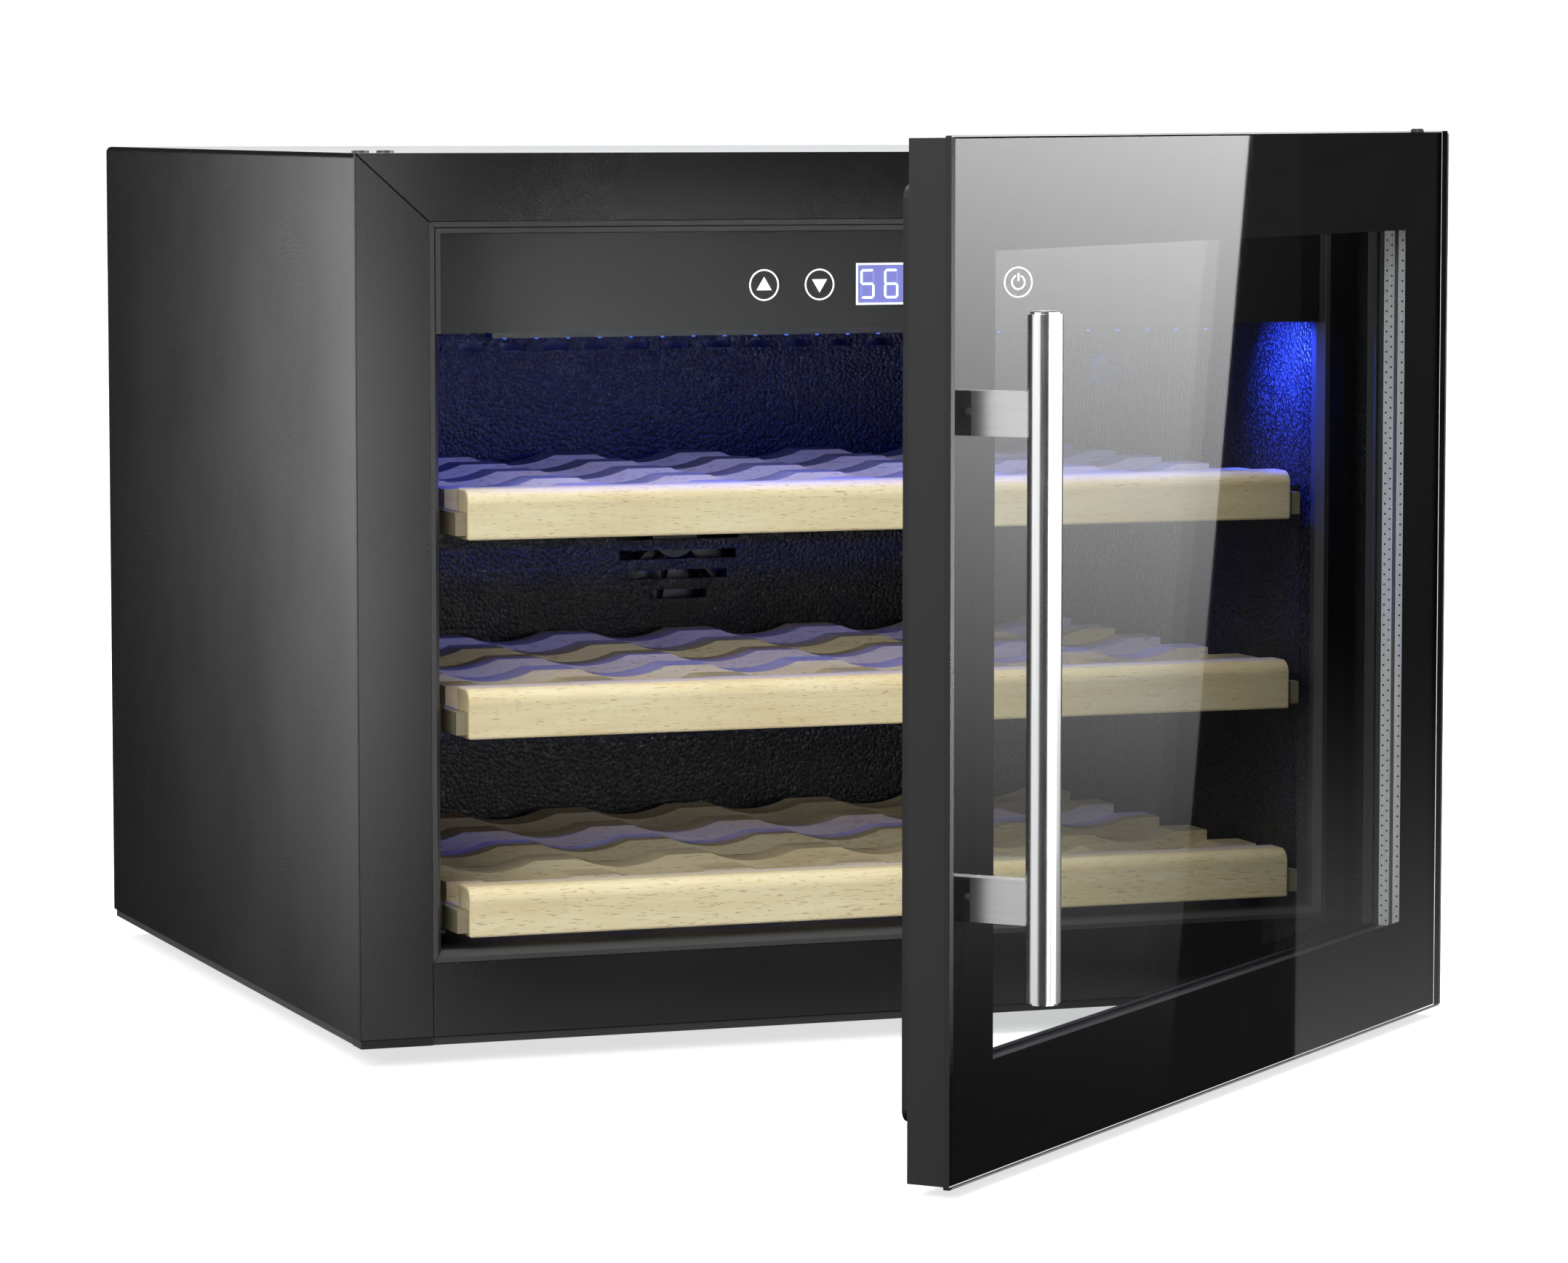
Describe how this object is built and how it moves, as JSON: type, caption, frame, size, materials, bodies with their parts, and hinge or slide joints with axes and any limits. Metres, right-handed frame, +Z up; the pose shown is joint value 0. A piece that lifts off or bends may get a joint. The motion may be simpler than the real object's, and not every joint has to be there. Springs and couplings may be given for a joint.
{
  "type": "wine cooler",
  "caption": "Built-in one-zone wine cooler with a hinged triple-glass door, a bar handle, beech pull-out shelves and a touch display.",
  "frame": {"origin": "on the floor plane under the feet, at the middle of the cabinet's width and in the plane of the front frame's face", "axes": "+Z up, the cabinet's front faces -Y, +X towards the hinge side"},
  "size_m": [0.5797, 0.9465, 0.46],
  "materials": {
    "black_coated_steel": "satin, brushed",
    "silver_coated_steel": "satin",
    "dark_rear_steel": "satin",
    "base_steel": "matte",
    "pu_foam": "matte",
    "black_liner": "fine grain",
    "charcoal_frame": "fine grain",
    "satin_trim": "satin",
    "gloss_black": "gloss",
    "black_plastic": "matte",
    "circuit_board": "satin",
    "display_white": "gloss",
    "display_blue": "gloss, backlit",
    "display_light": "backlit figures",
    "icon_white": "printed",
    "led_blue": "frosted, lit",
    "bare_aluminium": "mill",
    "galvanised": "galvanised",
    "steel_zinc": "zinc",
    "dark_runner": "satin",
    "beech": "oiled",
    "compressor_black": "gloss",
    "copper": "drawn tube",
    "mount_rubber": "matte",
    "fan_plastic": "matte",
    "bracket_steel": "satin",
    "clear_glass": "tempered",
    "black_print": "fired print",
    "spacer_aluminium": "perforated",
    "door_profile": "satin",
    "gasket_rubber": "soft",
    "polished_steel": "polished",
    "brushed_post": "brushed",
    "bush_plastic": "satin"
  },
  "bodies": {
    "cabinet": {"side_panel_left": "black_coated_steel", "side_panel_right": "black_coated_steel", "top_panel": "silver_coated_steel", "back_panel": "dark_rear_steel", "base_tray": "base_steel", "insulation_foam": "pu_foam", "inner_liner": "black_liner", "front_stile_left": "charcoal_frame", "front_stile_right": "charcoal_frame", "front_top_rail": "charcoal_frame", "kick_rail": "charcoal_frame", "opening_trim": "satin_trim", "stile_foot_caps": "gloss_black", "control_fascia": "gloss_black", "control_housing": "black_plastic", "control_board": "circuit_board", "display_bezel": "display_white", "display_window": "display_blue", "display_digits": "display_light", "touch_icons": "icon_white", "led_strip": "led_blue", "evaporator_cover": "black_liner", "evaporator_plate": "bare_aluminium", "circulation_fan_frame": "fan_plastic", "temperature_probe": "steel_zinc", "shelf_runners": "dark_runner", "machine_bulkhead": "galvanised", "compressor": "compressor_black", "compressor_mounts": "mount_rubber", "condenser_coil": "copper", "condenser_fan_shroud": "fan_plastic", "refrigerant_pipes": "copper", "power_inlet": "black_plastic", "hinge_bracket_top": "bracket_steel", "hinge_bracket_bottom": "bracket_steel", "screws_and_plugs": "bracket_steel"},
    "circulation_fan": {"circulation_fan_rotor": "fan_plastic"},
    "condenser_fan": {"condenser_fan_rotor": "fan_plastic"},
    "door": {"door_glass_front": "clear_glass", "door_print_border": "black_print", "door_inner_panes": "clear_glass", "glass_spacers": "spacer_aluminium", "door_frame": "door_profile", "door_gasket": "gasket_rubber", "handle_bar": "polished_steel", "handle_posts": "brushed_post", "hinge_bushes": "bush_plastic"},
    "shelf_top": {"shelf_top_front": "beech", "shelf_top_deck": "beech", "shelf_top_rails": "beech"},
    "shelf_middle": {"shelf_middle_front": "beech", "shelf_middle_deck": "beech", "shelf_middle_rails": "beech"},
    "shelf_bottom": {"shelf_bottom_front": "beech", "shelf_bottom_deck": "beech", "shelf_bottom_rails": "beech"},
    "foot_front_left": {"foot_front_left": "black_plastic"},
    "foot_front_right": {"foot_front_right": "black_plastic"},
    "foot_rear_left": {"foot_rear_left": "black_plastic"},
    "foot_rear_right": {"foot_rear_right": "black_plastic"}
  },
  "joints": [
    {"name": "door_hinge", "type": "hinge", "parent": "cabinet", "child": "door", "pos_m": [0.282, -0.01825, 0.23], "axis": [0, 0, 1], "range_deg": [-42.5, 57.5]},
    {"name": "shelf_top_slide", "type": "slide", "parent": "cabinet", "child": "shelf_top", "axis": [0, -1, 0], "range_m": [0, 0.05]},
    {"name": "shelf_middle_slide", "type": "slide", "parent": "cabinet", "child": "shelf_middle", "axis": [0, -1, 0], "range_m": [0, 0.05]},
    {"name": "shelf_bottom_slide", "type": "slide", "parent": "cabinet", "child": "shelf_bottom", "axis": [0, -1, 0], "range_m": [0, 0.05]},
    {"name": "circulation_fan_spin", "type": "hinge", "parent": "cabinet", "child": "circulation_fan", "pos_m": [0, 0.34, 0.235], "axis": [0, 1, 0], "continuous": true},
    {"name": "condenser_fan_spin", "type": "hinge", "parent": "cabinet", "child": "condenser_fan", "pos_m": [0.105, 0.453, 0.18], "axis": [0, 1, 0], "continuous": true},
    {"name": "foot_front_left_spin", "type": "hinge", "parent": "cabinet", "child": "foot_front_left", "pos_m": [-0.215, 0.092, 0.012], "axis": [0, 0, 1], "continuous": true},
    {"name": "foot_front_right_spin", "type": "hinge", "parent": "cabinet", "child": "foot_front_right", "pos_m": [0.215, 0.092, 0.012], "axis": [0, 0, 1], "continuous": true},
    {"name": "foot_rear_left_spin", "type": "hinge", "parent": "cabinet", "child": "foot_rear_left", "pos_m": [-0.235, 0.474, 0.012], "axis": [0, 0, 1], "continuous": true},
    {"name": "foot_rear_right_spin", "type": "hinge", "parent": "cabinet", "child": "foot_rear_right", "pos_m": [0.235, 0.474, 0.012], "axis": [0, 0, 1], "continuous": true}
  ]
}
